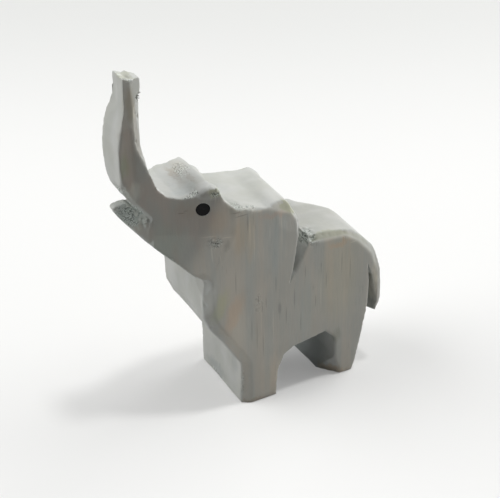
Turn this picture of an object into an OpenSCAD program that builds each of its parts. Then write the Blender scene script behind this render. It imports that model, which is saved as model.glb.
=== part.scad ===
// Carved wooden elephant: one sawn and knife-cut board with two inlaid eye pegs.
// The elephant faces -X, its left flank is -Y, and it stands on Z = 0.
// An outline point is [x, z]; outlines run anticlockwise as seen from the left flank.

/* [Board] */
// Thickness of the board that the elephant is sawn from
board_t = 28; // [24:0.5:36]
// How far the facet down the chest reaches across the thickness
chest_edge = 1.8; // [0.6:0.1:3]
// How far the facet down the chest reaches over the flank
chest_face = 2.8; // [0.6:0.1:3.5]
// How far the facet down the chest reaches across the thickness, right flank
chest_edge_right = 0.8; // [0.4:0.1:2]
// How far the facet along the back reaches across the thickness, left flank
back_edge = 1.6; // [0.6:0.1:3]
// How far the rounding cut along the back reaches across the thickness, right flank
back_round = 4.6; // [1:0.1:6]
// How far the rounding cut over the ear and crown reaches across the thickness, right flank
ear_round = 3.4; // [1:0.1:4]

/* [Legs] */
// Front of the front leg, ahead of the origin
fore_leg_front = 7.8; // [5:0.1:10]
// Length of the front sole
fore_sole = 11.4; // [9:0.1:14]
// Height of the arch between the legs
arch_h = 17.7; // [14:0.1:21.5]
// Length of the arch at the floor
arch_len = 17.4; // [14:0.1:20]
// Length of the hind sole
hind_sole = 9.2; // [8:0.1:11]
// How far the toe of the hind foot stands ahead of its shin
hind_toe = 2.8; // [0.5:0.1:4]
// Height of the hind toe
hind_toe_h = 7.5; // [4:0.1:10]
// Corner taken off each side of the hind toe, across the thickness
toe_corner = 5.9; // [2:0.1:8]

/* [Chest and back] */
// Reach of the chest ahead of the origin
chest_reach = 19.6; // [17:0.1:22]
// Height at which the chest slope leaves the front leg
chest_low = 14.5; // [10:0.1:18]
// Height at which the chest meets the jaw
chest_top = 46; // [42:0.1:50]
// Height of the back behind the ear
back_h = 52.2; // [47:0.1:57]
// Height of the rump where it starts to fall
rump_h = 50.6; // [45.5:0.1:52]
// Height at which the tail leaves the rump
tail_root_h = 39.5; // [37:0.1:42]
// Reach of the tail behind the origin
tail_reach = 40.8; // [39:0.1:45]
// Height of the tip of the tail
tail_tip_h = 20; // [17:0.1:26]
// Thickness of the tail near its tip
tail_t = 2.4; // [1.5:0.1:4]

/* [Ear and neck notch] */
// Height of the top of the ear
ear_h = 66.4; // [62:0.1:70]
// Reach of the ear behind the origin
ear_reach = 11.6; // [10.5:0.1:13.2]
// Width of the notch behind the ear, at the height of the back
notch_w = 3.4; // [1:0.1:6]
// Height of the bottom of the notch
notch_low = 39.4; // [34:0.1:44]
// Corner taken off the ear behind its top, across the thickness
ear_corner = 2.2; // [0.5:0.1:4]

/* [Head] */
// Distance of the crown ahead of the origin
crown_x = 15.1; // [12.5:0.1:17]
// Height of the crown
crown_h = 75.8; // [72:0.1:79]
// Height of the brow in front of the crown
brow_h = 73.4; // [70:0.1:75]
// Distance ahead of the origin at which the cheek starts to narrow
cheek_start = 9.4; // [6:0.1:12]
// Angle by which each cheek narrows towards the trunk
cheek_angle = 17.5; // [12:0.1:20]
// Slope of the cut that ends the cheek above the chest
cheek_slope = 19; // [12:0.1:24]
// Reach of the lower jaw ahead of the origin
jaw_reach = 40.8; // [38.5:0.1:45]
// Height of the tip of the lower jaw
jaw_h = 71.8; // [70.5:0.1:73.5]
// Thickness of the tip of the lower jaw from side to side
jaw_tip_t = 2.4; // [1:0.1:8]
// Width of the flat beside the mouth, on the upper edges of the lower jaw
jaw_rim = 1.5; // [0.5:0.1:3]
// Depth of the mouth cut behind the front of the trunk
mouth_depth = 8; // [4:0.1:11]
// Height of the inner end of the mouth
mouth_h = 68.2; // [67:0.1:69]

/* [Trunk] */
// Height of the tip of the trunk
trunk_h = 109.6; // [90:0.1:132]
// Front of the trunk, ahead of the origin
trunk_front = 39.7; // [38:0.1:41]
// Width of the trunk from front to back at its middle
trunk_w = 7.3; // [6:0.1:9]
// Thickness of the trunk from side to side
trunk_t = 11.4; // [8:0.1:15]
// Thickness of the tip of the trunk from side to side
trunk_tip_t = 7.6; // [5:0.1:11]

/* [Eye pegs] */
// Diameter of an eye peg
peg_d = 4; // [2.5:0.1:5]
// Length of an eye peg
peg_len = 5; // [3:0.1:7]
// Distance of the eye ahead of the origin
eye_x = 18; // [15:0.1:20]
// Height of the eye
eye_h = 69.5; // [66:0.1:71]
// Play between a peg and its bore, all round
peg_play = 0.05; // [0.02:0.01:0.2]

/* [Hidden] */

wood = "#8f8e88";
peg_black = "#1b1a1c";
round_fn = 64;
half_t = board_t / 2;
trunk_half = trunk_t / 2;
tip_half = trunk_tip_t / 2;
past = 3;

// Legs, from the front sole round the arch to the heel
fore_heel_x = fore_sole - fore_leg_front;
hind_toe_x = fore_heel_x + arch_len;
hind_shin_x = hind_toe_x + hind_toe;
hind_heel_x = hind_toe_x + hind_sole;
legs = [
  [fore_heel_x, 0],
  [fore_heel_x + 0.6, arch_h / 2],
  [fore_heel_x + 2.7, arch_h - 3.7],
  [fore_heel_x + 5.8, arch_h - 2.1],
  [hind_shin_x - 3.3, arch_h],
  [hind_shin_x, arch_h - 3.4],
  [hind_shin_x, hind_toe_h],
  [hind_toe_x, 0],
  [hind_heel_x, 0],
  [hind_heel_x + 1, 3],
  [hind_heel_x + 2.6, 10],
];

// Saw kerf between the thigh and the tail
thigh_x = hind_heel_x + 5;
tail_inner_x = tail_reach - tail_t;
kerf = [
  [thigh_x, tail_tip_h + 1.6],
  [thigh_x + 0.3, tail_root_h - 9],
  [thigh_x + 0.1, tail_root_h - 2.6],
  [tail_inner_x - 1.4, tail_root_h - 8],
  [tail_inner_x, tail_tip_h + 3],
  [tail_inner_x - 0.6, tail_tip_h + 0.3],
];

// Tail, rump and back, up to the notch
rump_x = tail_reach - 11;
notch_rear_x = ear_reach + notch_w;
back = [
  [tail_reach - 1.9, tail_tip_h - 0.3],
  [tail_reach - 0.4, tail_tip_h + 2.4],
  [tail_reach, tail_tip_h + 6],
  [tail_reach - 0.7, tail_root_h - 6],
  [tail_reach - 2.3, tail_root_h],
  [tail_reach - 3.6, tail_root_h + 3],
  [rump_x + 3, rump_h - 3.1],
  [rump_x, rump_h - 0.4],
  [rump_x - 4, rump_h + 0.7],
  [notch_rear_x + 5, back_h - 0.2],
  [notch_rear_x, back_h],
];

// Notch behind the ear
notch = [
  [notch_rear_x - 1.3, back_h - 2.6],
  [ear_reach - 2.8, notch_low],
  [ear_reach - 0.6, notch_low + 14],
];

// Ear, up to the valley in front of it
ear = [
  [ear_reach, notch_low + 17],
  [ear_reach - 0.2, ear_h - 6.6],
  [ear_reach - 2.6, ear_h - 2],
  [ear_reach - 4.4, ear_h],
  [ear_reach - 7.8, ear_h + 0.4],
  [ear_reach - 11, ear_h - 0.4],
  [ear_reach - 15.6, ear_h + 0.7],
];

// Crown and brow, up to the root of the trunk
trunk_back = trunk_front - trunk_w;
head = [
  [-cheek_start + 0.4, ear_h + 1.6],
  [-crown_x + 3.2, crown_h - 4.6],
  [-crown_x + 1, crown_h - 0.3],
  [-crown_x, crown_h],
  [-crown_x - 2.4, crown_h - 0.3],
  [-crown_x - 5, brow_h + 0.3],
  [-crown_x - 8.5, brow_h],
  [-trunk_back + 5, brow_h + 1.1],
  [-trunk_back + 2.8, brow_h + 3.6],
];

// Trunk: up its back, over the tip and down its front
// Height at a share of the way from the brow to the tip
function trunk_at(share) = brow_h + share * (trunk_h - brow_h);
trunk = [
  [-trunk_back + 0.6, trunk_at(0.28)],
  [-trunk_back, trunk_at(0.445)],
  [-trunk_back + 0.2, trunk_at(0.625)],
  [-trunk_back + 0.9, trunk_at(0.76)],
  [-trunk_back + 2, trunk_at(0.96)],
  [-trunk_front + 3.5, trunk_h],
  [-trunk_front + 3.1, trunk_at(0.875)],
  [-trunk_front + 2.7, trunk_at(0.78)],
  [-trunk_front + 0.8, trunk_at(0.6)],
  [-trunk_front + 0.1, trunk_at(0.47)],
  [-trunk_front, trunk_at(0.335)],
  [-trunk_front + 0.4, trunk_at(0.165)],
  [-trunk_front + 1, trunk_at(0.09)],
];

// Mouth cut and lower jaw; the middle line of the cut runs out at mouth_front
mouth_inner = [-trunk_front + mouth_depth, mouth_h];
mouth_front = [-jaw_reach - 4, jaw_h + 8.5];
jaw = [
  [-trunk_front + 3.4, brow_h - 0.4],
  mouth_inner,
  [-jaw_reach + 4.2, jaw_h],
  [-jaw_reach + 1.2, jaw_h - 0.1],
  [-jaw_reach, jaw_h - 0.9],
  [-jaw_reach + 1.2, jaw_h - 3.2],
  [-jaw_reach + 7.5, chest_top + 14.7],
  [-jaw_reach + 12.2, chest_top + 10],
  [-chest_reach + 0.1, chest_top + 0.9],
];

// Chest and the front of the front leg
chest = [
  [-chest_reach, chest_top - 2],
  [-chest_reach + 0.3, chest_top - 12],
  [-chest_reach + 2.5, chest_low + 14.5],
  [-fore_leg_front - 5.9, chest_low + 9.8],
  [-fore_leg_front, chest_low],
  [-fore_leg_front, 0],
];

outline = concat(legs, kerf, back, notch, ear, head, trunk, jaw, chest);

function unit(v) = v / norm(v);
function left(v) = [-v.y, v.x];
// The bend at b, on the way from a to c, moved to its left by `inset`
function mitre(a, b, c, inset) =
  let (n = left(unit(b - a)), m = left(unit(c - b)))
  b + (n + m) * inset / (1 + n * m);
// A chain of points moved to its left by `inset`, square at both ends
function set_in(p, inset) = [
  for (i = [0 : len(p) - 1])
    i == 0 ? p[0] + left(unit(p[1] - p[0])) * inset
    : i == len(p) - 1 ? p[i] + left(unit(p[i] - p[i - 1])) * inset
    : mitre(p[i - 1], p[i], p[i + 1], inset)
];

// A shape drawn in x and z, standing across the thickness from y = from to y = to
module across(from, to) {
  translate([0, to, 0])
    rotate([90, 0, 0])
      linear_extrude(to - from)
        children();
}

// Half the thickness left by the cheek cut, at a distance ahead of the origin
function cheek_half(ahead) = half_t - (ahead - cheek_start) * tan(cheek_angle);

// Everything beyond the flat cut through p, q and r, on the side that the points
// run anticlockwise as seen from
module beyond(p, q, r, size) {
  n = unit(cross(q - p, r - p));
  translate((p + q + r) / 3)
    rotate([0, acos(n.z), atan2(n.y, n.x)])
      translate([-size, -size, 0])
        cube([2 * size, 2 * size, size]);
}

module both_flanks() {
  children();
  mirror([0, 1, 0]) children();
}

// Everything above the flat facet along a to b, on the left flank edge
module above_facet(a, b, face, edge) {
  run = b - a;
  translate([a.x, -half_t + edge, a.y])
    rotate([0, -atan2(run.y, run.x), 0])
      rotate([-atan2(face, edge), 0, 0])
        translate([-trunk_h, -trunk_h, -trunk_h])
          cube([2 * trunk_h, 2 * trunk_h, trunk_h]);
}

// The wood above the flat facets along the chain p, taken off the left flank edge.
// Where the chain bulges, each facet runs on past the corner; in a hollow, each
// stops at its neighbours.
module edge_facets(p, face, edge) {
  last = len(p) - 1;
  bulges = [0, for (i = [1 : last - 1]) if (cross(p[i] - p[i - 1], p[i + 1] - p[i]) > 0) i, last];
  for (k = [0 : len(bulges) - 2]) {
    a = bulges[k];
    b = bulges[k + 1];
    before = a == 0 ? 0 : past;
    after = b == last ? 0 : past;
    strip = [
      p[a] - unit(p[a + 1] - p[a]) * before,
      each [for (i = [a + 1 : 1 : b - 1]) p[i]],
      p[b] + unit(p[b] - p[b - 1]) * after,
    ];
    outer = set_in(strip, -past);
    inner = set_in(strip, face + 1);
    intersection() {
      across(-half_t - past, -half_t + edge + past)
        polygon(concat(outer, [for (i = [len(inner) - 1 : -1 : 0]) inner[i]]));
      intersection_for(i = [a : b - 1]) above_facet(p[i], p[i + 1], face, edge);
    }
  }
}

// Left cheek: the head narrows towards the trunk, down to the slanted stop cut
module cheek_cut() {
  stop_a = [-cheek_start - 0.2, -half_t, ear_h - 6.4];
  stop_b = [-chest_reach + 2.1, -half_t, chest_top + 0.9];
  along = unit(stop_b - stop_a);
  up = [along.z, 0, -along.x];
  intersection() {
    translate([-cheek_start, -half_t, 0])
      rotate([0, 0, -cheek_angle])
        translate([-2 * jaw_reach, -board_t, 0])
          cube([2 * jaw_reach, board_t, 2 * trunk_h]);
    beyond(stop_a, stop_a + up * 10 + [0, 10 * tan(cheek_slope), 0], stop_b, 2 * trunk_h);
    translate([-2 * jaw_reach, -trunk_half - board_t, 0])
      cube([2 * jaw_reach, board_t, 2 * trunk_h]);
  }
}

// Left side of the trunk: three flats that lead from the flank to its narrow back,
// one that thins the tip, and one that lifts the lip above the mouth
module trunk_cuts() {
  root = [-trunk_back + 2.1, -cheek_half(trunk_back - 2.1), trunk_at(0.155)];
  waist = [-trunk_back - 1.9, -trunk_half, trunk_at(0.46)];
  waist_spine = [-trunk_back, -trunk_half + 1.9, trunk_at(0.46)];
  neck = [-trunk_back - 2.9, -trunk_half, trunk_at(0.76)];
  neck_spine = [-trunk_back + 0.9, -trunk_half + 3.8, trunk_at(0.76)];
  brim = [-trunk_back + 2, -trunk_half + 3.7, trunk_at(0.955)];
  intersection() {
    beyond(root, waist_spine, waist, trunk_h);
    beyond(waist, waist_spine, neck_spine, trunk_h);
    beyond(neck, neck_spine, brim, trunk_h);
    translate([-2 * jaw_reach, -board_t, root.z])
      cube([2 * jaw_reach, board_t, trunk_h]);
  }
  thin = [-trunk_front, -trunk_half, trunk_at(0.65)];
  beyond(thin, thin + [trunk_w, 0, 0], [-trunk_back, -tip_half, trunk_h], 20);
  lip = [-trunk_front, -trunk_half, trunk_at(0.26)];
  lip_low = [-trunk_front + 6, -trunk_half, brow_h - 3.4];
  intersection() {
    beyond(lip, [-trunk_front + 0.6, -trunk_half + 1.8, trunk_at(0.09)], lip_low, 12);
    across(-half_t, 0)
      polygon([mouth_inner, mouth_front + [6, 20], mouth_front]);
  }
}

// Left side of the lower jaw: narrowed towards its tip and flattened beside the mouth
module jaw_cuts() {
  root = [mouth_inner.x - 0.5, -cheek_half(0.5 - mouth_inner.x), mouth_h + 0.2];
  tip = [-jaw_reach + 2, -jaw_tip_t / 2, jaw_h];
  intersection() {
    across(-half_t, 0)
      polygon([mouth_inner, mouth_front, [-jaw_reach, chest_top], mouth_inner - [0, 20]]);
    union() {
      beyond(root, [-jaw_reach, -jaw_tip_t / 2, jaw_h], root - [0, 0, 8], 14);
      beyond(root + [0, jaw_rim, 0], tip, root - [0, 0, jaw_rim], 14);
    }
  }
}

// Corner of the left hind toe
module toe_cut() {
  shin = [hind_shin_x, -half_t, hind_toe_h];
  beyond(shin, [hind_toe_x + 0.4, -half_t + toe_corner, 0], [hind_toe_x + 5, -half_t, 0], 9);
}

// Corner of the left ear, behind its top
module ear_cut() {
  front = [ear_reach - 9.2, -half_t, ear_h - 1.5];
  low = [ear_reach - 1.6, -half_t, ear_h - 5];
  beyond(front, low, [ear_reach - 3.6, -half_t + ear_corner, ear_h], 9);
}

// Sloping flat over the right side of the rump, drawn on the left
module rump_cut() {
  start = [rump_x - 10.5, -half_t + back_round, back_h - 0.1];
  fall = [rump_x + 0.5, -half_t + back_round + 7.2, rump_h - 0.7];
  beyond(start, [tail_reach - 2.9, -half_t + back_round + 1.9, tail_root_h + 1.9], fall, 16);
}

chest_line = [
  [-chest_reach + 0.1, chest_top + 1.2],
  each [for (i = [0 : len(chest) - 2]) chest[i]],
  [-fore_leg_front, -past],
];
back_line = [
  [tail_reach - 1.7, tail_tip_h - 0.6],
  [tail_reach - 0.2, tail_tip_h + 3.5],
  [tail_reach - 0.6, tail_root_h - 6],
  [tail_reach - 3, tail_root_h + 2],
  [rump_x + 3, rump_h - 3.1],
  [rump_x - 2, rump_h + 0.4],
  [notch_rear_x - 1.4, back_h],
];
ear_line = [
  [ear_reach, notch_low + 15],
  [ear_reach - 0.2, ear_h - 6.6],
  [ear_reach - 4, ear_h - 0.2],
  [ear_reach - 15.6, ear_h + 0.7],
  [-cheek_start + 0.4, ear_h + 1.6],
  [-crown_x + 3.2, crown_h - 4.6],
  [-crown_x + 0.5, crown_h - 0.2],
  [-crown_x - 5, brow_h + 0.3],
  [-trunk_back + 5, brow_h + 0.6],
];

module blank() {
  across(-half_t, half_t) polygon(outline);
}

module carved_body() {
  color(wood) difference() {
    blank();
    both_flanks() {
      cheek_cut();
      trunk_cuts();
      jaw_cuts();
      toe_cut();
    }
    edge_facets(chest_line, chest_face, chest_edge);
    edge_facets(back_line, back_edge + 0.4, back_edge);
    edge_facets([for (i = [0 : 3]) ear_line[i]], 1, 1.2);
    ear_cut();
    mirror([0, 1, 0]) {
      edge_facets(chest_line, chest_edge_right * 1.6, chest_edge_right);
      edge_facets(back_line, back_round * 0.7, back_round);
      edge_facets(ear_line, ear_round * 0.8, ear_round);
      rump_cut();
    }
    both_flanks() eye_bore();
  }
}

// Stands a shape in the left cheek, square to it, with z = 0 on its surface
module at_left_eye() {
  translate([-eye_x, -cheek_half(eye_x), eye_h])
    rotate([90, 0, -cheek_angle])
      children();
}

module eye_bore() {
  at_left_eye()
    translate([0, 0, -peg_len])
      cylinder(d = peg_d + 2 * peg_play, h = peg_len + past, $fn = round_fn);
}

module eye_peg() {
  at_left_eye()
    translate([0, 0, -peg_len])
      cylinder(d = peg_d, h = peg_len, $fn = round_fn);
}

module eye_peg_left() {
  color(peg_black) eye_peg();
}

module eye_peg_right() {
  color(peg_black) mirror([0, 1, 0]) eye_peg();
}

carved_body();
eye_peg_left();
eye_peg_right();
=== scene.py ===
import math

import bmesh
import bpy
from mathutils import Matrix, Vector, noise


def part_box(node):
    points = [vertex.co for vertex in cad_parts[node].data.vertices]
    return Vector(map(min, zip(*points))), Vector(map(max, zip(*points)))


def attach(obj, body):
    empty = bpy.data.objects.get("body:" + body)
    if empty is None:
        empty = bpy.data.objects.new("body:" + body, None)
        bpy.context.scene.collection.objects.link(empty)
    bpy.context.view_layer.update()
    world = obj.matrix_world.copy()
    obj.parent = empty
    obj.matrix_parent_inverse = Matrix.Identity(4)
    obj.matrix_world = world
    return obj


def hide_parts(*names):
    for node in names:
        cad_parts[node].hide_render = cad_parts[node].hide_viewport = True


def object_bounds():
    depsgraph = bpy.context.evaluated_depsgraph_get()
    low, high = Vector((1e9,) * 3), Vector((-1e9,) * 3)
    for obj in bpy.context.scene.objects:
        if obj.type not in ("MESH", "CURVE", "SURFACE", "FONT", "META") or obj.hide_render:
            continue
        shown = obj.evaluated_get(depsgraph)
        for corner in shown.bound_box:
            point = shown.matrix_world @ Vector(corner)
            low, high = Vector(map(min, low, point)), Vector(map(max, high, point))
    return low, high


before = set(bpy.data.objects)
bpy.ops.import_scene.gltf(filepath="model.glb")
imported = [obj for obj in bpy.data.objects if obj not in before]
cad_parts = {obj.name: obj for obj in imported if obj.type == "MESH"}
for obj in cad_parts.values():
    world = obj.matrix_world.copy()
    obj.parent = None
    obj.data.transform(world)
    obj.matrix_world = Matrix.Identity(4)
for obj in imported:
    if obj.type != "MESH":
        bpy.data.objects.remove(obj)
cad_low, cad_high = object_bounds()

# The elephant faces -X, its left flank is -Y, and it stands on Z = 0.
# Sizes are millimetres times MM, and places on the figure are points in plain millimetres.
MM = 0.001
LEFT, RIGHT = -1, 1

# Each cheek turns in towards the trunk, and each eye peg has a little play in its bore
CHEEK_TURN = math.radians(17.5)
EYE_LEN = 5 * MM
EYE_PLAY = 0.05 * MM
EYE_R = (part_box("eye_peg_left")[1].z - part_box("eye_peg_left")[0].z) / 2
TRUNK_TOP = cad_high[2] / MM


def put_in_scene(name, mesh):
    """A finished bmesh becomes an object at the origin."""
    data = bpy.data.meshes.new(name)
    mesh.to_mesh(data)
    mesh.free()
    piece = bpy.data.objects.new(name, data)
    bpy.context.scene.collection.objects.link(piece)
    return piece


def apply_modifiers(piece):
    """Replaces the piece's mesh with what its modifiers make of it."""
    bpy.context.view_layer.update()
    seen = piece.evaluated_get(bpy.context.evaluated_depsgraph_get())
    made = bpy.data.meshes.new_from_object(seen)
    piece.modifiers.clear()
    piece.data = made


def cut_away(body, cutter):
    """Takes a closed bmesh off the body."""
    tool = put_in_scene("cutter", cutter)
    cut = body.modifiers.new("cut", "BOOLEAN")
    cut.operation = "DIFFERENCE"
    cut.solver = "EXACT"
    cut.object = tool
    apply_modifiers(body)
    bpy.data.objects.remove(tool)


def eye_place(side):
    """The middle of an eye on the cheek's surface, with +Z pointing out of the cheek."""
    low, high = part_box("eye_peg_left" if side == LEFT else "eye_peg_right")
    outward = Vector((-math.sin(CHEEK_TURN), side * math.cos(CHEEK_TURN), 0))
    middle = (low + high) / 2 + outward * EYE_LEN / 2
    return Matrix.Translation(middle) @ outward.to_track_quat("Z", "Y").to_matrix().to_4x4()


def ripple(at, pitch, start=0):
    """Smooth noise from -1 to 1 in waves of a pitch, which is one number or one for each axis."""
    across = pitch if isinstance(pitch, Vector) else Vector((pitch, pitch, pitch))
    return noise.noise(Vector((at.x / across.x + start, at.y / across.y + start, at.z / across.z - start)))


def within(at, middle, reach):
    """1 at the middle of a soft ellipsoid, falling to 0 at its reach."""
    away = sum(((at[k] - middle[k]) / reach[k]) ** 2 for k in range(3))
    return max(0.0, 1 - away) ** 0.7


def rise(value, low, high):
    """The share of the way from low to high, kept between 0 and 1."""
    return min(1.0, max(0.0, (value - low) / (high - low)))


def splinters(at, pitch):
    """Rough noise from 0 up, as of torn grain."""
    return noise.turbulence(Vector(at) / pitch, 3, False)


# --- carved body ---

VOXEL = 0.44 * MM
WELD = 0.001 * MM

# Waves that the tools left: height, pitch, and where their noise starts
WAVES_ALL_OVER = [(0.08, 9, 0), (0.03, 3.4, 7)]
WAVES_OFF_THE_FLANKS = [(0.26, 12, 3), (0.07, 5, 5)]
WAVES_UP_THE_GRAIN = [(0.022, Vector((2.2, 2.2, 26)), 2)]

# The nibbled edges of the board: the lean of their normals to Y and its spread, and the bites' depth,
# pitch and where their noise starts
EDGE_LEAN, EDGE_SPREAD = 0.7, 0.28
NIBBLE, NIBBLE_PITCH, NIBBLE_START = 0.6, 1.3, 11

# Places where the knife tore the grain: middle, reach along X, Y and Z, depth, and pitch of the splinters
TORN = [
    ((-36.5, -1, 70), (6, 8, 3.2), 0.12, 0.34),         # speckled lower jaw
    ((-33, -6.4, 67), (2.6, 2.4, 2.2), 0.4, 0.7),       # left corner of the mouth
    ((15.6, -10.5, 50.5), (2.6, 5, 3.4), 0.6, 0.7),     # top of the notch's rear wall
    ((-31.5, -2.7, 103.2), (1.5, 2.6, 1.5), 1.5, 0.6),  # chip on the back of the trunk
    ((-38.6, -2.6, 77), (1.8, 4.4, 2.2), 0.35, 0.5),    # underside of the trunk
    ((-15.2, -12.2, 58.4), (3.4, 1.6, 2), 0.35, 0.6),   # dent in the left cheek
    ((-23.4, -11.4, 67), (1.4, 1, 0.5), 0.3, 0.6),      # nick in front of the left eye
    ((-17.2, 3, 75), (2.6, 3.4, 2), 0.2, 0.6),          # pits on the crown
    ((-19, -8, 73.6), (4, 3, 1.2), 0.25, 0.6),          # left edge of the brow
    ((-14.6, -12, 75), (2, 2, 1.4), 0.4, 0.6),          # left corner of the crown
    ((-5.5, -12.6, 67), (3.4, 2.4, 1.2), 0.3, 0.6),     # left corner in front of the ear
    ((6, 11, 66), (2, 2, 1.5), 0.4, 0.7),               # right edge of the ear's top
    ((17, 11, 50.6), (3, 4, 2), 0.4, 0.8),              # right edge of the back
    ((-20, 11.2, 61), (3, 1.6, 3), 0.3, 0.7),           # dent in the right cheek
    ((-8, 13, 12), (1, 3, 5), 0.25, 0.8),               # right edge of the front leg
    ((22.6, -12, 5), (2, 3, 4), 0.2, 0.7),              # left hind toe
]
# A torn place sinks by a share of its depth all over, and by more where its splinters are thick
TORN_EVEN, TORN_SPLINTERED = 0.35, 1.3

# Shallow hollows that the knife left, and swells where the depth is below zero: middle, reach, depth
HOLLOWS = [
    ((4.4, 14, 66.6), (4, 9, 4), 0.7),        # right corner of the ear's top
    ((9.8, 14, 61), (5, 9, 7), -1.3),         # right side behind the ear's top
    ((-10.6, 14, 69), (3.6, 10, 5), -1.5),    # right end of the valley behind the crown
    ((-22.6, 13, 73.4), (4.4, 9, 3), -1.3),   # right half of the brow
    ((-15.4, 14, 76), (3, 9, 3), 0.5),        # right end of the crown
    ((18, 14, 52), (7, 9, 4), -0.9),          # right side of the back, behind the notch
    ((28, 14, 49.4), (8, 9, 5), 0.7),         # right side of the rump
    ((23, 2, 51.4), (9, 2.6, 4), 0.35),       # sweep along the back
    ((-3, -7, 67), (6, 6, 3), 0.35),          # left half of the ear's top
    ((3, 3, 67.4), (4, 9, 3), 0.25),
    ((-22, -5, 74), (5, 4, 3), 0.3),          # left half of the brow
    ((-19, 0, 36), (5, 9, 8), 0.35),          # chest
    ((-8, 3, 8), (3, 8, 5), 0.3),             # front leg
    ((-37, 0, 92), (4, 4, 9), 0.2),           # front of the trunk
    ((-37, 4, 103.6), (3.4, 5, 5.6), 0.5),    # front of the trunk, below its flared lip
    ((-16.6, -11.4, 75), (4.6, 5, 3), -0.9),  # left end of the crown
    ((9.6, -14, 62), (6, 3, 6), 0.45),        # left rear corner of the ear
    ((-20, -13, 46), (3, 5, 4), 0.8),         # left corner of the chest
    ((-22, 12, 62), (8, 4, 8), 0.3),          # right cheek
    ((8, 14, 45), (12, 4, 9), 0.25),          # right flank
    ((28, 14, 24), (9, 4, 10), 0.2),
]

# Ridges across the board that the knife rounded: middle, reach along X, Y and Z, and passes of smoothing
ROUNDED = [
    ((-15, 0, 76), (9, 13, 8), 26),   # crown
    ((4, 0, 67), (14, 13, 7), 20),    # top of the ear
    ((28, 0, 48), (15, 13, 10), 16),  # back
    ((-15, 0, 32), (12, 13, 22), 8),  # chest
]
# Points whose normals lean to Y by more than this aren't smoothed with the ridges
FLANK_LEAN = 0.5

# Two cuts that thin the trunk's tip, at its left rear corner and on its left side: a point and the way out
PARED = [
    (Vector((-35.4, -4.1, 108.7)), Vector((0.5, -0.8, 0.15)).normalized()),
    (Vector((-33.3, -3.4, 109.6)), Vector((-0.1, -0.97, 0.2)).normalized()),
]
PARED_FROM = 90

# The torn end grain of the trunk: a gouge with its X and Y, reach and depth, the splinters' pitch, depth and
# least share, the X where the front lip ends and where all is torn, and how far down the torn wood reaches
GOUGE_AT, GOUGE_REACH, GOUGE_DEPTH = (-33.8, 0.6), (1.1, 3), 1.3
SPLINTER_PITCH, SPLINTER_DEPTH, SPLINTER_LEAST = 0.9, 0.6, 0.1
LIP_FRONT, LIP_BACK = -36.8, -35.4
TIP_DEPTH = 2.5

# The skewed end cut of the tail: X where the tail begins, heights between which its end stretches, and how
# far the cut drops on the left, more per millimetre to the right, and for how many of them
TAIL_FRONT, TAIL_BACK = 35.6, 36.2
TAIL_FROM, TAIL_FULL, TAIL_FADE = 17, 22, 27
TAIL_DROP, TAIL_SKEW, TAIL_SKEW_REACH = 0.5, 0.34, 9.0


def plugged_copy():
    """The CAD body as one merged shell, with both eye bores closed over."""
    shell = bmesh.new()
    shell.from_mesh(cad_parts["carved_body"].data)
    bmesh.ops.remove_doubles(shell, verts=shell.verts, dist=WELD)
    for side in (LEFT, RIGHT):
        into_eye = eye_place(side).inverted()
        spots = [(face, into_eye @ face.calc_center_median()) for face in shell.faces]
        wall = [
            face for face, at in spots
            if math.hypot(at.x, at.y) < EYE_R + 2 * EYE_PLAY and -EYE_LEN - EYE_PLAY < at.z < -EYE_PLAY
        ]
        bmesh.ops.delete(shell, geom=wall, context="FACES")
    bmesh.ops.holes_fill(shell, edges=[edge for edge in shell.edges if edge.is_boundary], sides=0)
    return shell


def even_skin(body):
    """Gives the body an even skin, fine enough for tool marks."""
    remesh = body.modifiers.new("even_skin", "REMESH")
    remesh.mode = "VOXEL"
    remesh.voxel_size = VOXEL
    apply_modifiers(body)


def soften(skin):
    """Takes the steps out of the new skin."""
    bmesh.ops.smooth_vert(
        skin, verts=skin.verts, factor=0.3, use_axis_x=True, use_axis_y=True, use_axis_z=True,
    )
    skin.normal_update()


def round_ridges(skin):
    """Smooths the ridges that run across the board, and leaves the edges along its two faces crisp."""
    for middle, reach, passes in ROUNDED:
        top = [vert for vert in skin.verts if abs(vert.normal.y) < FLANK_LEAN]
        near = [(vert, within(vert.co / MM, middle, reach)) for vert in top]
        for done in range(passes):
            patch = [vert for vert, share in near if share * passes > done]
            bmesh.ops.smooth_vert(
                skin, verts=patch, factor=0.5, use_axis_x=True, use_axis_y=False, use_axis_z=True,
            )
        skin.normal_update()


def waves(at, kinds):
    """The height in millimetres that the waves of a list add up to at a point."""
    return sum(height * ripple(at, pitch, start) for height, pitch, start in kinds)


def tool_marks(at, out):
    """How far the surface stands out, in millimetres, at a point whose normal is out."""
    height = waves(at, WAVES_ALL_OVER)
    height += (1 - abs(out.y)) * waves(at, WAVES_OFF_THE_FLANKS)
    height += (1 - abs(out.z)) * waves(at, WAVES_UP_THE_GRAIN)
    on_edge = max(0.0, 1 - abs(abs(out.y) - EDGE_LEAN) / EDGE_SPREAD)
    height -= NIBBLE * on_edge * max(0.0, ripple(at, NIBBLE_PITCH, NIBBLE_START)) ** 2
    for middle, reach, depth in HOLLOWS:
        height -= depth * within(at, middle, reach) ** 2
    for middle, reach, depth, pitch in TORN:
        share = within(at, middle, reach)
        if share:
            height -= share * depth * (TORN_EVEN + TORN_SPLINTERED * splinters(at, pitch))
    return height


def pared(place):
    """Where a place on the trunk's tip lies after the two cuts."""
    for point, out in PARED:
        proud = max(0.0, (place / MM - point).dot(out))
        place = place - out * proud * MM
    return place


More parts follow.
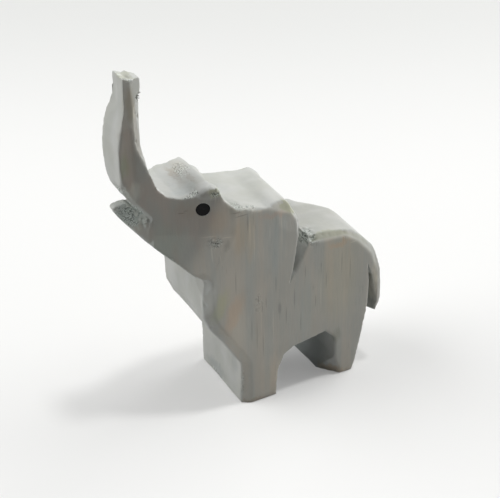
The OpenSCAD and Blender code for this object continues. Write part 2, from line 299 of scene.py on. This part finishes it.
def ragged_tip(at):
    """How far the end grain of the trunk's tip falls below its highest lip, in millimetres."""
    away = [(at[k] - GOUGE_AT[k]) / GOUGE_REACH[k] for k in range(2)]
    gouge = math.exp(-(away[0] ** 2) - away[1] ** 2)
    torn = SPLINTER_LEAST + splinters(at, SPLINTER_PITCH)
    behind_lip = rise(at.x, LIP_FRONT, LIP_BACK)
    share = rise(at.z, TRUNK_TOP - TIP_DEPTH, TRUNK_TOP) ** 2
    return (GOUGE_DEPTH * gouge + SPLINTER_DEPTH * torn) * behind_lip * share


def skewed_tail(at):
    """How much lower the skewed end cut leaves the tail, in millimetres; it is most on the right."""
    if at.z <= TAIL_FROM:
        return 0.0
    share = rise(at.z, TAIL_FADE, TAIL_FULL)
    from_left = min(TAIL_SKEW_REACH, at.y - cad_low[1] / MM)
    return (TAIL_DROP + TAIL_SKEW * from_left) * share * rise(at.x, TAIL_FRONT, TAIL_BACK)


def worked(vert):
    """Where the knife and the saw left a point of the skin; it never leaves the CAD's box."""
    at = vert.co / MM
    place = vert.co + vert.normal * tool_marks(at, vert.normal) * MM
    if at.z > PARED_FROM:
        place = pared(place)
    place.z -= (ragged_tip(at) + skewed_tail(at)) * MM
    return Vector([min(max(place[k], cad_low[k]), cad_high[k]) for k in range(3)])


def make_body():
    body = put_in_scene("carved_elephant", plugged_copy())
    even_skin(body)
    skin = bmesh.new()
    skin.from_mesh(body.data)
    soften(skin)
    round_ridges(skin)
    places = [worked(vert) for vert in skin.verts]
    for vert, place in zip(skin.verts, places):
        vert.co = place
    skin.to_mesh(body.data)
    skin.free()
    body.data.shade_smooth()
    return body


# The narrow ends of the two saw kerfs, which the even skin closes over: corners as X and Z
SAW_ENDS = [
    [(8, 38.8), (11.2, 44.6), (9.4, 44.6)],  # notch behind the ear
    [(34.8, 37.4), (35.3, 32), (36.8, 32)],  # between thigh and tail
]
SAW_REACH = 16


def open_saw_kerfs(body):
    for corners in SAW_ENDS:
        blade = bmesh.new()
        outline = [blade.verts.new(Vector((x, -SAW_REACH, z)) * MM) for x, z in corners]
        face = blade.faces.new(outline)
        pushed = bmesh.ops.extrude_face_region(blade, geom=[face])["geom"]
        moved = [part for part in pushed if isinstance(part, bmesh.types.BMVert)]
        bmesh.ops.translate(blade, verts=moved, vec=(0, 2 * SAW_REACH * MM, 0))
        bmesh.ops.recalc_face_normals(blade, faces=blade.faces)
        cut_away(body, blade)


# --- eye pegs ---

BORE_PAST = 3 * MM          # how far the bore's cutter stands out of the cheek
PEG_SHORT = 0.02 * MM       # gap under a peg, which keeps it off the bottom of its bore
RIM = 0.12 * MM
RIM_ZONE = 0.2 * MM
PEG_WEAR = 0.03             # how far the end grain of a peg has sunk, and how uneven it is, in millimetres


def round_bar(radius, length, top):
    """A cylinder along Z whose upper end is at top."""
    bar = bmesh.new()
    bmesh.ops.create_cone(
        bar, cap_ends=True, cap_tris=False, segments=64, radius1=radius, radius2=radius, depth=length,
        matrix=Matrix.Translation((0, 0, top - length / 2)),
    )
    return bar


def cut_eye_bore(body, side):
    bore = round_bar(EYE_R + EYE_PLAY, EYE_LEN + BORE_PAST, BORE_PAST)
    bmesh.ops.transform(bore, matrix=eye_place(side), verts=bore.verts)
    cut_away(body, bore)


def make_eye(name, side):
    peg = round_bar(EYE_R, EYE_LEN - PEG_SHORT, 0)
    top_face = max(peg.faces, key=lambda face: face.calc_center_median().z)
    rim = list(top_face.edges)
    bmesh.ops.bevel(peg, geom=rim, offset=RIM, segments=3, profile=0.5, affect="EDGES", material=-1)
    for vert in peg.verts:
        grain = ripple(vert.co / MM, 0.9, side)
        if vert.co.z > -RIM_ZONE:
            vert.co.z -= (PEG_WEAR + PEG_WEAR * grain) * MM
    bmesh.ops.transform(peg, matrix=eye_place(side), verts=peg.verts)
    return put_in_scene(name, peg)


# --- materials ---


class Wire:
    """One socket of a material's node tree, on which plain arithmetic adds Math nodes."""

    def __init__(self, tree, socket):
        self.tree = tree
        self.socket = socket

    def node(self, kind, settings, inputs, output=0):
        """Any other node: its settings first, then the values or links of its sockets."""
        made = self.tree.nodes.new(kind)
        for name, value in settings.items():
            setattr(made, name, value)
        for name, value in inputs.items():
            if isinstance(value, Wire):
                self.tree.links.new(value.socket, made.inputs[name])
            else:
                made.inputs[name].default_value = value
        return Wire(self.tree, made.outputs[output])

    def math(self, operation, first, second):
        return self.node("ShaderNodeMath", {"operation": operation}, {0: first, 1: second})

    def __add__(self, other):
        return self.math("ADD", self, other)

    def __radd__(self, other):
        return self.math("ADD", other, self)

    def __rsub__(self, other):
        return self.math("SUBTRACT", other, self)

    def __mul__(self, other):
        return self.math("MULTIPLY", self, other)

    def __rmul__(self, other):
        return self.math("MULTIPLY", other, self)

    def __abs__(self):
        return self.math("ABSOLUTE", self, 0)

    def vector(self, operation, other, output=0):
        """These vectors with others, by a Vector Math node."""
        return self.node("ShaderNodeVectorMath", {"operation": operation}, {0: self, 1: other}, output)

    def part_y(self):
        """The Y of these vectors."""
        return self.node("ShaderNodeSeparateXYZ", {}, {0: self}, 1)

    def ramp(self, low, high):
        """A smooth change from 0 at low to 1 at high, and level past both ends."""
        settings = {"interpolation_type": "SMOOTHSTEP"}
        return self.node("ShaderNodeMapRange", settings, {"Value": self, "From Min": low, "From Max": high})

    def placed(self, middle, reach, turn=0):
        """These places seen from middle, in units of reach, turned about Y; both in millimetres."""
        sizes = {
            "Location": Vector(middle) * MM,
            "Rotation": (0, math.radians(turn), 0),
            "Scale": Vector(reach) * MM,
        }
        return self.node("ShaderNodeMapping", {"vector_type": "TEXTURE"}, {"Vector": self, **sizes})

    def spot(self, middle, reach, turn=0):
        """1 at middle, falling to 0 at reach along each axis."""
        ball = {"gradient_type": "SPHERICAL"}
        fade = self.node("ShaderNodeTexGradient", ball, {"Vector": self.placed(middle, reach, turn)}, 1)
        return fade.ramp(0, 0.7)

    def noise(self, pitch, detail=2, rough=0.5, bend=0):
        """Noise about 0.5 at these places, whose waves are pitch millimetres long along each axis."""
        scaled = self.placed((0, 0, 0), pitch)
        sizes = {"Vector": scaled, "Scale": 1, "Detail": detail, "Roughness": rough, "Distortion": bend}
        return self.node("ShaderNodeTexNoise", {}, sizes)

    def blend(self, below, above):
        """The colour below where this mask is 0, and above where it is 1."""
        pick = {0: self, 6: solid(below), 7: solid(above)}
        return self.node("ShaderNodeMix", {"data_type": "RGBA"}, pick, 2)

    def tint(self, below, above):
        """Below, multiplied by the colour above where this mask is 1."""
        pick = {0: self, 6: solid(below), 7: solid(above)}
        return self.node("ShaderNodeMix", {"data_type": "RGBA", "blend_type": "MULTIPLY"}, pick, 2)

    def tinted(self, factor):
        """This colour multiplied all over by a factor."""
        pick = {0: 1, 6: self, 7: solid(factor)}
        return self.node("ShaderNodeMix", {"data_type": "RGBA", "blend_type": "MULTIPLY"}, pick, 2)


def solid(colour):
    """A colour socket takes a fourth number."""
    return colour if isinstance(colour, Wire) else (*colour, 1)


def new_material(name):
    """A material with one Principled shader, and the object's own coordinates as a wire."""
    material = bpy.data.materials.new(name)
    material.use_nodes = True
    tree = material.node_tree
    coordinates = tree.nodes.new("ShaderNodeTexCoord")
    return material, tree.nodes["Principled BSDF"].inputs, Wire(tree, coordinates.outputs["Object"])


# The stain on the board's flat sides, on its thinned head and on what the knife cut: two shades of each; the
# head's is warmer and darker, its darkness partly painted shade
BOARD_SHADES = (0.464, 0.44, 0.383), (0.42, 0.423, 0.387)
HEAD_STAIN_AND_SHADE = (0.352, 0.322, 0.284), (0.326, 0.331, 0.302)
CUT_SHADES = (0.425, 0.432, 0.4), (0.46, 0.467, 0.445)

# The olive of the stained bevels, also laid as painted shade over one lit corner of the ear
OLIVE_STAIN_AND_SHADE = (0.355, 0.36, 0.265)
TORN_GREEN = (0.4, 0.45, 0.415)
TORN_PALE = (0.58, 0.625, 0.585)
TORN_DARK = (0.08, 0.09, 0.08)
BARE_WOOD = (0.58, 0.605, 0.56)

# Tints that multiply the stain
BLOTCH_DARK, BLOTCH_PALE = (0.95, 0.955, 0.96), (1.07, 1.06, 1.05)
FINE_STROKE = (0.7, 0.71, 0.72)
DARK_STROKE = (0.7, 0.7, 0.71)
PALE_SCRATCH = (1.2, 1.19, 1.16)
WORN_EDGE, DEEP_CORNER = (1.08, 1.08, 1.07), (0.72, 0.72, 0.7)

PEG_BLACK, PEG_FLECK = (0.004, 0.004, 0.004), (0.012, 0.011, 0.011)

# The flat sides of the board as distances from its middle plane, between which the stain changes
CUT_SIDE, FLAT_SIDE = 13.2 * MM, 13.8 * MM

# Soft stains on the wood, with painted light and shade among them: middle, reach along X, Y and Z, turn about
# Y in degrees, and tint at the middle
STAINS_AND_PAINTED_LIGHT = [
    ((-7.8, -14, 60), (3.4, 4, 10), 8, (1, 0.93, 0.85)),            # brown front of the ear
    ((-4.6, -14, 58), (2, 4, 12), 4, (1.1, 1.02, 0.93)),            # tan column beside it
    ((-10.5, -13.5, 34), (3.6, 3, 10), 24, (1.08, 0.96, 0.88)),     # rust on the chest
    ((-14.5, -13.5, 38), (2.8, 3, 8), 20, (1, 1.02, 0.86)),         # olive edge beside it
    ((24.6, -13.8, 47.4), (5, 2, 1.6), 2, (1.1, 0.97, 0.87)),       # rust on the rump
    ((4, -13.6, 63), (8, 2.5, 1.6), 6, (1.06, 0.95, 0.9)),          # brown line under the ear's top
    ((25, -14, 36), (10, 3, 22), 0, (1.06, 1.03, 0.96)),            # warmer rump
    ((14, -14, 28), (4, 3, 18), 0, (0.96, 1, 1.02)),                # grey-green of the belly
    ((3, -14, 54), (5, 3, 15), 0, (0.94, 0.985, 1.02)),             # grey-blue middle of the ear
    ((2, -14, 8), (5, 3, 10), 0, (1.1, 1.06, 1.02)),                # worn front foot
    ((-10, -14, 22), (8, 3, 16), 0, (1.1, 1.1, 1.09)),              # paler above it
    ((-14, -13, 65), (4, 3, 7), 10, (1.05, 0.98, 0.92)),            # brown behind the eye
    ((-28, -8, 60), (7, 6, 10), 0, (0.95, 1, 0.98)),                # grey of the left jaw
    ((-22, -9, 70), (5, 4, 4), 0, (0.98, 0.94, 0.9)),               # brown under the brow
    ((-36, -4.6, 66.6), (6, 6, 4), -40, (1.22, 1.26, 1.24)),        # pale lower edge of the jaw
    ((-36.4, -5, 88), (3.4, 2.4, 18), 0, (0.9, 0.86, 0.83)),        # brown left side of the trunk
    ((-38, -5.6, 86), (2, 2.4, 5), 0, (0.9, 0.98, 0.86)),           # olive streak along its front edge
    ((-34.8, -4.2, 102), (2.6, 2.6, 8), 0, (0.86, 0.81, 0.73)),     # darker near the trunk's tip
    ((-20, 3, 74.6), (1.8, 7, 1.6), 0, (0.86, 0.83, 0.8)),          # brown smears on the crown
    ((-17.4, -3, 75.4), (1.1, 6, 1.6), 0, (0.88, 0.86, 0.84)),
    ((-22.6, -2, 73.6), (1.6, 5, 1.6), 0, (1.08, 1.1, 1.12)),
    ((-36.4, -5.8, 76.6), (3.4, 2, 5), 40, (1.26, 1.3, 1.3)),       # pale bevel at the trunk's root
    ((-18, -1, 75), (9, 15, 4), 0, (0.87, 0.865, 0.875)),           # greyer crown
    ((-21, -6, 74), (6, 3.4, 3), 0, (1.06, 1.09, 1.12)),            # milky brow
    ((-19, 5, 76), (5, 6, 3), 0, (1.02, 0.98, 0.92)),               # yellowed right half of the crown
    ((-13.4, -3, 73), (3, 11, 3), 0, (0.93, 0.95, 0.94)),           # darker behind the crown
    ((-18.6, -12.8, 40), (3, 2.8, 8), 20, (1.24, 1.26, 1.28)),      # pale bevel of the chest: painted light on a facet that the lamps leave dim
    ((-33.4, -4.8, 92), (2.2, 1.6, 12), 0, (0.8, 0.77, 0.74)),      # brown bevel along the trunk's back
    ((-12.2, -13.8, 57), (1.5, 1.4, 2.6), 20, (0.82, 0.82, 0.82)),  # dark smear behind the cheek's dent
    ((-8.8, -11, 69), (4, 7, 4), -30, (0.74, 0.75, 0.73)),          # darker left end of the valley by the ear
    ((-7.7, 4, 3), (1.4, 8, 3), 0, (0.8, 0.82, 0.84)),              # scuffed lower edge of the front leg
    ((-7.7, -8, 12), (1.4, 3, 7), 0, (0.9, 0.91, 0.92)),
    ((23, -12, 1), (8, 6, 2.6), 0, (0.92, 0.8, 0.68)),              # brown sole of the left hind foot
    ((-4, -14, 0), (8, 3, 1.6), 0, (0.88, 0.82, 0.76)),
    ((37.2, -11, 28), (1.7, 10, 12), 0, (1.5, 1.46, 1.36)),         # paler inside of the tail: painted light on its inner wall in the saw kerf
    ((21.4, 1, 7), (7, 18, 24), 0, (0.7, 0.74, 0.78)),              # darker front of the hind legs: painted shade in the arch between the legs
    ((39.6, -13, 34), (3.6, 3.6, 20), 0, (0.72, 0.71, 0.7)),        # darker left edge of the tail
    ((24, -13.4, 15), (3, 2, 3.4), 30, (0.84, 0.84, 0.8)),          # dark smear at the hind leg's top
    ((25, 0, 50), (17, 16, 7), 0, (0.9, 0.89, 0.88)),               # greyer back
    ((9.4, -9, 51), (1.6, 7, 8), 0, (0.92, 0.9, 0.88)),             # shaded bottom of the notch
    ((-6, 14, 60), (6, 4, 12), -10, (1.06, 0.96, 0.9)),             # the same few on the right
    ((14, 14, 36), (9, 4, 14), 0, (1.08, 0.96, 0.88)),
    ((30, 14, 30), (7, 4, 18), 0, (0.95, 0.98, 1.02)),
    ((-20, 12, 60), (7, 5, 12), 0, (0.94, 0.94, 0.94)),
]

# Bevels that the stain left yellow-green: middle, reach, turn about Y, and how much
OLIVE = [
    # the first also darkens the lit left rear corner of the ear: painted shade over a highlight
    ((9, -13, 63.6), (7.5, 2.8, 3.6), 0, 0.85),
    ((22, -12.8, 50), (9, 2.2, 2.6), 8, 0.6),
    ((31, -12.8, 46.6), (6, 2.2, 2.6), 28, 0.35),
    ((-14.6, -12.6, 74.6), (3.4, 2.4, 2.4), 0, 0.7),
    ((-33.4, 0, 110), (4, 5.5, 2.4), 0, 0.45),
    ((5, 12.6, 65), (9, 2.4, 2.6), 0, 0.7),
    ((28, 12.6, 48.6), (9, 2.2, 2.6), 14, 0.6),
]

# Torn grain that took the stain unevenly: middle, reach, pitch of its specks, how green and how dark it is
SPECKLED = [
    ((-36.6, -3.2, 69), (5.8, 8, 4.6), 0.31, 1, 0.72),        # lower jaw
    ((-38.8, -2.6, 77.2), (1.6, 4.4, 1.8), 0.5, 0.2, 1),      # underside of the trunk
    ((15.6, -10.6, 50.6), (2.8, 4.6, 3), 0.34, 0.5, 0.9),     # top of the notch's rear wall
    ((-15.2, -12.6, 58.6), (2.9, 2, 1.7), 0.3, 0.1, 0.6),     # dent in the left cheek
    ((-19, -9.2, 73.8), (5, 2.4, 1.1), 0.34, 0, 1),           # left edge of the brow
    ((-17.6, 3, 75.2), (3.6, 6, 1.6), 0.4, 0, 0.5),           # pits on the crown
    ((-14.4, -12.4, 74), (2.8, 1.8, 1.6), 0.28, 0.2, 0.9),
    ((-6, -12.4, 66.8), (5, 2, 1.1), 0.36, 0, 1),             # front edge of the ear's top
    ((-31.8, -3, 102.7), (1, 2, 1.1), 0.5, 0, 1),             # chip on the back of the trunk
    ((-34.4, -2.4, 109.4), (2.4, 1.6, 1.6), 0.45, 0.1, 0.9),  # splinters round the trunk's tip
    ((-31.8, 0.4, 109.6), (1.6, 4, 1), 0.45, 0.1, 0.8),
    ((-7.6, -11.6, 68), (2.6, 3, 1.6), 0.32, 0, 0.7),         # left end of the valley behind the crown
    ((-7.8, 2, 0.8), (1, 13, 1), 0.6, 0, 0.6),                # lower edge of the front leg
    ((-8, -13, 8), (1.6, 1.6, 9), 0.5, 0, 0.25),
    ((-2.4, -14, 35), (2.2, 1.5, 5), 0.5, 0, 0.2),            # short checks in the shoulder
    ((39.6, -12.6, 20), (1.8, 2, 2), 0.3, 0.2, 0.5),          # tip of the tail
    ((-20, 12, 61), (3, 2, 2.6), 0.3, 0.1, 0.6),              # dent in the right cheek
]

# Bare pale wood where a splinter came away: middle and reach
BARE = [
    ((-33.6, -5.2, 68), (1.6, 2.2, 1.2)),
    ((-34.6, -3.6, 69.8), (1.3, 2, 0.8)),
    ((-35.8, -1.6, 71.2), (1.4, 2.2, 0.7)),
    ((17.2, -12.8, 50), (0.9, 0.6, 0.5)),
    ((-34.6, 1.2, 110), (1.4, 2.4, 1.2)),
]

# Single dark strokes: middle and reach
STROKES = [
    ((25.7, -14, 40.7), (0.25, 1.5, 5)), ((28.6, -14, 37.6), (0.22, 1.5, 6)),
    ((20.4, -14, 36), (0.25, 1.5, 4)), ((13.2, -14, 41), (0.25, 1.5, 3)),
    ((9.6, -14, 33), (0.3, 1.5, 5)), ((6.8, -14, 28), (0.25, 1.5, 4)),
    ((11.8, -14, 24), (0.25, 1.5, 5)), ((-6.8, -14, 9), (0.5, 1.5, 8)),
    ((3.4, -14, 40), (0.25, 1.5, 4)), ((16.8, -14, 30), (0.25, 1.5, 3)),
    ((4.6, -14, 31), (0.8, 1.5, 3)), ((-1, -14, 20), (0.25, 1.5, 6)),
    ((-23.8, -9.6, 69), (1.5, 2, 0.25)), ((-22.6, -10, 69.6), (0.9, 2, 0.2)),
    ((-9.7, -14, 44), (0.25, 1.5, 5)), ((-2.4, -14, 36.4), (0.3, 1.5, 2.4)),
    ((-1.2, -14, 33), (0.25, 1.5, 2)), ((0.1, -14, 34.6), (0.25, 1.5, 2.6)),
    ((-4.7, -14, 26.5), (0.22, 1.5, 6)), ((-3, -14, 24), (0.2, 1.5, 8)),
    ((-5.6, -14, 63), (0.3, 1.5, 4.4)), ((-7.4, -14, 65.9), (3, 1.5, 0.3)),
    ((-9.2, -14, 67.2), (2.2, 1.5, 0.25)), ((-35, -1.8, 108.6), (1.4, 1, 1.4)),
    ((-34, -2.8, 108.6), (1, 1, 1.4)), ((-33.4, 0.4, 108.6), (0.6, 2, 1)),
    ((26.4, 14, 40), (0.4, 1.5, 5)), ((-2.4, 14, 52), (0.4, 1.5, 6)),
    ((8.2, 14, 20), (0.4, 1.5, 5)),
]

# Single pale scratches: middle and reach
SCRATCHES = [
    ((-4.9, -14, 60), (0.25, 1.5, 7)), ((-3.6, -14, 56), (0.2, 1.5, 9)),
    ((5.4, -14, 57), (0.2, 1.5, 8)), ((1.5, -14, 57.7), (0.2, 1.5, 4)),
    ((-16.4, -12.7, 55.4), (0.3, 1.5, 4)), ((-14.2, -13.2, 53), (0.2, 1.5, 3)),
    ((-17.2, -12, 60.6), (3.6, 1.5, 0.25)), ((-12, -13.4, 59.8), (2.6, 1.5, 0.2)),
    ((-15.9, -12, 73.4), (0.25, 1.5, 2.6)), ((-14.6, -12.4, 73), (0.25, 1.5, 2.4)),
    ((2.4, -14, 26), (0.2, 1.5, 9)), ((18.6, -14, 33), (0.2, 1.5, 7)),
    ((-1.6, -14, 30), (0.2, 1.5, 9)), ((29.4, -13.9, 46.6), (1.5, 1.5, 0.3)),
    ((5, 14, 42), (0.25, 1.5, 8)),
]


def stained_grain_and_head_shade(place, side, head):
    """The stain over grain that runs up the board: warm on its flat sides, warmer and darker on the thinned
    head, whose darkness is partly painted shade.
    """
    board = place.noise((3.6, 8, 55), 3, 0.6).ramp(0.36, 0.64).blend(*BOARD_SHADES)
    cheek = place.noise((6, 6, 14), 3).ramp(0.35, 0.65).blend(*HEAD_STAIN_AND_SHADE)
    cut = place.noise((9, 6, 9), 2).ramp(0.35, 0.65).blend(*CUT_SHADES)
    return side.blend(cut, head.blend(board, cheek))


def wander(place):
    """A small shift of places that makes the edge of a stain ragged, longer along the grain."""
    sizes = {"Vector": place.placed((0, 0, 0), (1.6, 1.6, 4)), "Scale": 1, "Detail": 2}
    shift = place.node("ShaderNodeTexNoise", {}, sizes, 1)
    return shift.vector("SUBTRACT", (0.5, 0.5, 0.5)).vector("MULTIPLY", Vector((2, 2, 5)) * MM)


def with_stains_and_painted_light(colour, place, bent, flat):
    """Adds the soft stains with the painted light and shade among them, the olive bevels and blotches all
    over.
    """
    for middle, reach, turn, tint_at_middle in STAINS_AND_PAINTED_LIGHT:
        colour = bent.spot(middle, reach, turn).tint(colour, tint_at_middle)
    for middle, reach, turn, share in OLIVE:
        fade = bent.spot(middle, reach, turn).ramp(0, 0.6) * (1 - flat) * share
        colour = fade.blend(colour, OLIVE_STAIN_AND_SHADE)
    blotches = place.noise((7, 7, 12), 3).ramp(0.3, 0.7)
    return blotches.tint(colour.tinted(BLOTCH_DARK), BLOTCH_PALE)


def stroke_mask(place):
    """Short dark strokes along the grain, in drifts."""
    drift = place.noise((5, 5, 16), 1).ramp(0.46, 0.68)
    fine = place.noise((0.4, 0.4, 6.5), 2, 0.6).ramp(0.58, 0.74)
    return fine * drift


def with_strokes(colour, place, side, flat):
    """Adds the fine strokes of the grain, and the single strokes and scratches."""
    colour = (stroke_mask(place) * side * (0.3 + 0.7 * flat)).tint(colour, FINE_STROKE)
    for middle, reach in STROKES:
        colour = (place.spot(middle, reach) * 0.8).tint(colour, DARK_STROKE)
    for middle, reach in SCRATCHES:
        colour = place.spot(middle, reach).tint(colour, PALE_SCRATCH)
    return colour


def with_worn_edges(colour, bend):
    """Edges are rubbed paler, and concave corners are darker."""
    colour = bend.ramp(0.53, 0.62).tint(colour, WORN_EDGE)
    return bend.ramp(0.47, 0.4).tint(colour, DEEP_CORNER)


def with_torn_grain(colour, place, bent):
    """Adds pale chips and dark pits to torn places, and the bare wood where splinters came away."""
    broken = place.noise((1.5, 1.5, 1), 2, 0.6).ramp(0.36, 0.56)
    for middle, reach, pitch, green, dark in SPECKLED:
        whole = bent.spot(middle, reach)
        specks = place.noise((pitch, pitch, 1.4 * pitch), 2)
        colour = (whole * green * 0.8).blend(colour, TORN_GREEN)
        here = whole * broken
        share = here.ramp(0, 0.5) * dark
        chips = (1 - specks + here * 0.1).ramp(0.56, 0.7) * share
        pits = (specks + here * 0.1).ramp(0.56, 0.68) * share
        colour = pits.blend(chips.blend(colour, TORN_PALE), TORN_DARK)
    for middle, reach in BARE:
        colour = bent.spot(middle, reach).ramp(0.1, 0.6).blend(colour, BARE_WOOD)
    return colour


def wood_colour(place, normal, bend):
    """The whole colour of the stained wood, with its painted light and shade; normal is the surface's, bend
    is high on its edges.
    """
    side = abs(normal.part_y()).ramp(0.7, 0.9)
    flat = abs(place.part_y()).ramp(CUT_SIDE, FLAT_SIDE)
    head = place.spot((-40, 0, 82), (34, 60, 46)).ramp(0, 0.25) * (1 - flat)
    bent = place.vector("ADD", wander(place))
    colour = stained_grain_and_head_shade(place, side, head)
    colour = with_stains_and_painted_light(colour, place, bent, flat)
    colour = with_strokes(colour, place, side, flat)
    colour = with_worn_edges(colour, bend)
    return with_torn_grain(colour, place, bent)


def stained_wood():
    material, shader, place = new_material("stained_wood")
    normal = Wire(place.tree, place.socket.node.outputs["Normal"])
    bend = Wire(place.tree, place.tree.nodes.new("ShaderNodeNewGeometry").outputs["Pointiness"])
    colour = wood_colour(place, normal, bend)
    place.tree.links.new(colour.socket, shader["Base Color"])
    rough = 0.55 + 0.18 * place.noise((3, 3, 9), 3)
    place.tree.links.new(rough.socket, shader["Roughness"])
    shader["Specular IOR Level"].default_value = 0.35
    fibres = place.noise((0.8, 0.8, 9), 4, 0.6, 0.6) + 0.5 * place.noise((1.2, 1.2, 3), 2)
    bump = place.node("ShaderNodeBump", {}, {"Strength": 0.22, "Distance": 0.2 * MM, "Height": fibres})
    place.tree.links.new(bump.socket, shader["Normal"])
    return material


def black_peg():
    material, shader, place = new_material("black_peg")
    fleck = place.noise((0.5, 0.5, 0.5), 3)
    colour = fleck.ramp(0.45, 0.75).blend(PEG_BLACK, PEG_FLECK)
    place.tree.links.new(colour.socket, shader["Base Color"])
    shader["Roughness"].default_value = 0.6
    shader["Specular IOR Level"].default_value = 0.12
    return material


# --- studio ---

# The camera looks down at the left front of the figure: its turn about Z, its tilt and its roll
CAMERA_TURN, CAMERA_TILT, CAMERA_ROLL = math.radians(-27.7), math.radians(31.4), math.radians(-0.8)
# It stands to the right of, above and away from a point inside the figure
CAMERA_FROM = Vector((-12.13, 0, 37.33))
CAMERA_RIGHT, CAMERA_UP, CAMERA_AWAY = 12.71, 9.98, 440.8
LENS, SENSOR = 108, 36

FLOOR_REACH = 3             # metres
FLOOR_LIT = (0.5, 0.5, 0.5)
# The floor that the camera sees is paler near and darker far off: painted shading of how the light falls off
# over the floor
FLOOR_NEAR, FLOOR_MIDDLE, FLOOR_FAR = (0.77, 0.77, 0.76), (0.752, 0.752, 0.74), (0.605, 0.61, 0.595)
AWAY = (0.465, 0.885, 0)    # over the floor, away from the camera
# The floor's own glow, its share at the figure, and the distances between which it takes over
GLOW, GLOW_NEAR, GLOW_FROM, GLOW_FULL = 0.94, 0.21, 0.45, 1.2

# Lamps about the figure: direction from it, width in metres and power in watts
LAMP_AWAY = 1.2
LAMPS = [
    ("ceiling_lamp", (0.144, -0.11, 1), 0.13, 4),
    ("left_window", (-0.82, 0.5, 0.8), 1.2, 12.8),
    ("right_window", (1, 0.1, 0.5), 1.2, 11),
    ("right_wall", (0.7, 0.2, 1), 2.4, 7),
    ("front_fill", (0.8, -0.6, 0.4), 1.5, 2.6),
]
# The room's even light, and how much brighter the background shows
ROOM_LIGHT, ROOM_SHOWN = 0.03, 0.85


def make_camera():
    turn, tilt, roll = CAMERA_TURN, CAMERA_TILT, CAMERA_ROLL
    back = Vector((math.sin(turn) * math.cos(tilt), -math.cos(turn) * math.cos(tilt), math.sin(tilt)))
    level = Vector((math.cos(turn), math.sin(turn), 0))
    steep = back.cross(level)
    right = math.cos(roll) * level + math.sin(roll) * steep
    up = math.cos(roll) * steep - math.sin(roll) * level
    lens = bpy.data.cameras.new("camera")
    lens.sensor_width = SENSOR
    lens.lens = LENS
    lens.clip_start = 0.01
    camera = bpy.data.objects.new("camera", lens)
    place = (CAMERA_FROM + CAMERA_RIGHT * right + CAMERA_UP * up + CAMERA_AWAY * back) * MM
    facing = Matrix((right, up, back)).transposed().to_4x4()
    camera.matrix_world = Matrix.Translation(place) @ facing
    bpy.context.scene.collection.objects.link(camera)
    bpy.context.scene.camera = camera


def background_rays(tree):
    """1 on the rays that show the background: to the camera, in gloss and through glass."""
    paths = tree.nodes.new("ShaderNodeLightPath")
    names = ("Is Camera Ray", "Is Glossy Ray", "Is Transmission Ray")
    camera, gloss, glass = [Wire(tree, paths.outputs[name]) for name in names]
    return camera + gloss + glass


def studio_floor():
    """Its grey lights the figure from below, and the camera sees a pale sweep that darkens far off."""
    material, shader, place = new_material("floor_sweep")
    away = place.vector("DOT_PRODUCT", AWAY, 1)
    far = away.ramp(0.1, 0.33)
    near = away.ramp(0, -0.08)
    pale = near.blend(far.blend(FLOOR_MIDDLE, FLOOR_FAR), FLOOR_NEAR)
    shown = background_rays(place.tree)
    colour = shown.blend(FLOOR_LIT, pale)
    place.tree.links.new(colour.socket, shader["Base Color"])
    shader["Roughness"].default_value = 0.9
    shader["Specular IOR Level"].default_value = 0
    glow = place.node("ShaderNodeEmission", {}, {"Color": (1, 1, 1, 1), "Strength": GLOW})
    distance = place.vector("LENGTH", (0, 0, 0), 1)
    glowing = GLOW_NEAR + (1 - GLOW_NEAR) * distance.ramp(GLOW_FROM, GLOW_FULL)
    surface = Wire(place.tree, place.tree.nodes["Principled BSDF"].outputs[0])
    seen = place.node("ShaderNodeMixShader", {}, {0: shown * glowing, 1: surface, 2: glow})
    place.tree.links.new(seen.socket, place.tree.nodes["Material Output"].inputs["Surface"])
    return material


def make_floor():
    sheet = bmesh.new()
    bmesh.ops.create_grid(sheet, x_segments=1, y_segments=1, size=FLOOR_REACH)
    floor = put_in_scene("floor", sheet)
    floor.data.materials.append(studio_floor())


def make_lamp(name, towards, size, power):
    """A soft round lamp that faces the figure, seen from it in the direction towards."""
    data = bpy.data.lights.new(name, "AREA")
    data.shape = "DISK"
    data.size = size
    data.energy = power
    lamp = bpy.data.objects.new(name, data)
    way = Vector(towards).normalized()
    facing = way.to_track_quat("Z", "Y").to_matrix().to_4x4()
    lamp.matrix_world = Matrix.Translation(way * LAMP_AWAY) @ facing
    bpy.context.scene.collection.objects.link(lamp)


def make_room():
    """A faint even light from all round, which shows as a pale background."""
    world = bpy.data.worlds.new("room")
    world.use_nodes = True
    sky = world.node_tree.nodes["Background"].inputs
    sky["Color"].default_value = (1, 1, 1, 1)
    strength = ROOM_LIGHT + ROOM_SHOWN * background_rays(world.node_tree)
    world.node_tree.links.new(strength.socket, sky["Strength"])
    bpy.context.scene.world = world


# --- the scene ---

make_camera()
body = make_body()
for side in (LEFT, RIGHT):
    cut_eye_bore(body, side)
open_saw_kerfs(body)
body.data.shade_smooth()
body.data.materials.clear()
body.data.materials.append(stained_wood())
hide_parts("carved_body")
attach(body, "root")

peg_finish = black_peg()
for name, side, node in (("left_eye", LEFT, "eye_peg_left"), ("right_eye", RIGHT, "eye_peg_right")):
    eye = make_eye(name, side)
    eye.data.materials.append(peg_finish)
    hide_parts(node)
    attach(eye, "root")

make_floor()
for lamp in LAMPS:
    make_lamp(*lamp)
make_room()
bpy.context.scene.view_settings.view_transform = "Standard"
